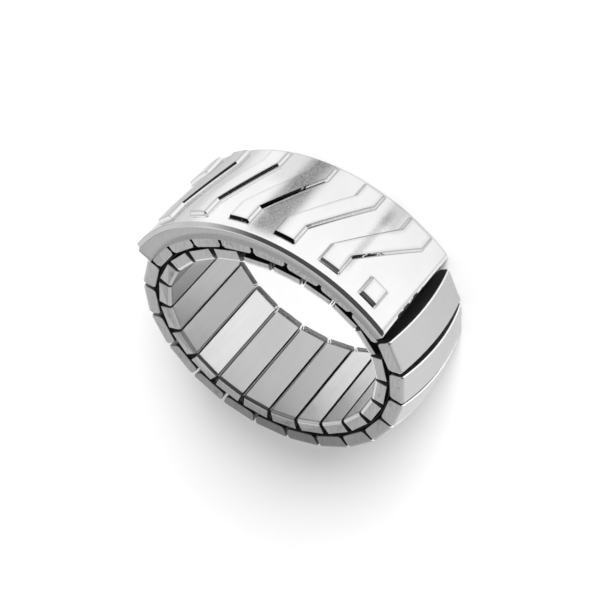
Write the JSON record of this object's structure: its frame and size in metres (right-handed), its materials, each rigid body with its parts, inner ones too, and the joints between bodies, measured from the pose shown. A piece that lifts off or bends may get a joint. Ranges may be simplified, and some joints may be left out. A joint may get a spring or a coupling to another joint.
{
  "type": "stretch ring",
  "caption": "Expansion band ring: two rows of steel sleeve links round the finger and a curved top plate with a raised zigzag, lying on its side.",
  "frame": {"origin": "centre of the bounding box in plan, on the floor the ring lies on", "axes": "+Z along the finger's axis, up from the floor; -Y through the middle of the top plate; +X along the ring's width"},
  "size_m": [0.028, 0.026, 0.0104],
  "materials": {
    "plate_steel": "polished, mirror bright",
    "outer_steel": "satin with bright bevelled edges",
    "inner_steel": "satin, brushed across the band",
    "core_steel": "dark, in shade between the rows"
  },
  "bodies": {
    "root": {"top_plate": "plate_steel", "link_core": "core_steel", "inner_link_01": "inner_steel", "inner_link_02": "inner_steel", "inner_link_03": "inner_steel", "inner_link_04": "inner_steel", "inner_link_05": "inner_steel", "inner_link_06": "inner_steel", "inner_link_07": "inner_steel", "inner_link_08": "inner_steel", "inner_link_09": "inner_steel", "inner_link_10": "inner_steel", "inner_link_11": "inner_steel", "inner_link_12": "inner_steel", "inner_link_13": "inner_steel", "inner_link_14": "inner_steel", "inner_link_15": "inner_steel", "inner_link_16": "inner_steel", "inner_link_17": "inner_steel", "inner_link_18": "inner_steel", "inner_link_19": "inner_steel", "inner_link_20": "inner_steel", "inner_link_21": "inner_steel", "inner_link_22": "inner_steel", "outer_link_01": "outer_steel", "outer_link_02": "outer_steel", "outer_link_03": "outer_steel", "outer_link_04": "outer_steel", "outer_link_05": "outer_steel", "outer_link_06": "outer_steel", "outer_link_07": "outer_steel", "outer_link_08": "outer_steel", "outer_link_09": "outer_steel", "outer_link_10": "outer_steel", "outer_link_11": "outer_steel", "outer_link_12": "outer_steel", "outer_link_13": "outer_steel", "outer_link_14": "outer_steel", "outer_link_15": "outer_steel", "outer_link_16": "outer_steel", "outer_link_17": "outer_steel", "outer_link_18": "outer_steel", "outer_link_19": "outer_steel", "outer_link_20": "outer_steel", "outer_link_21": "outer_steel", "outer_link_22": "outer_steel"}
  },
  "joints": []
}
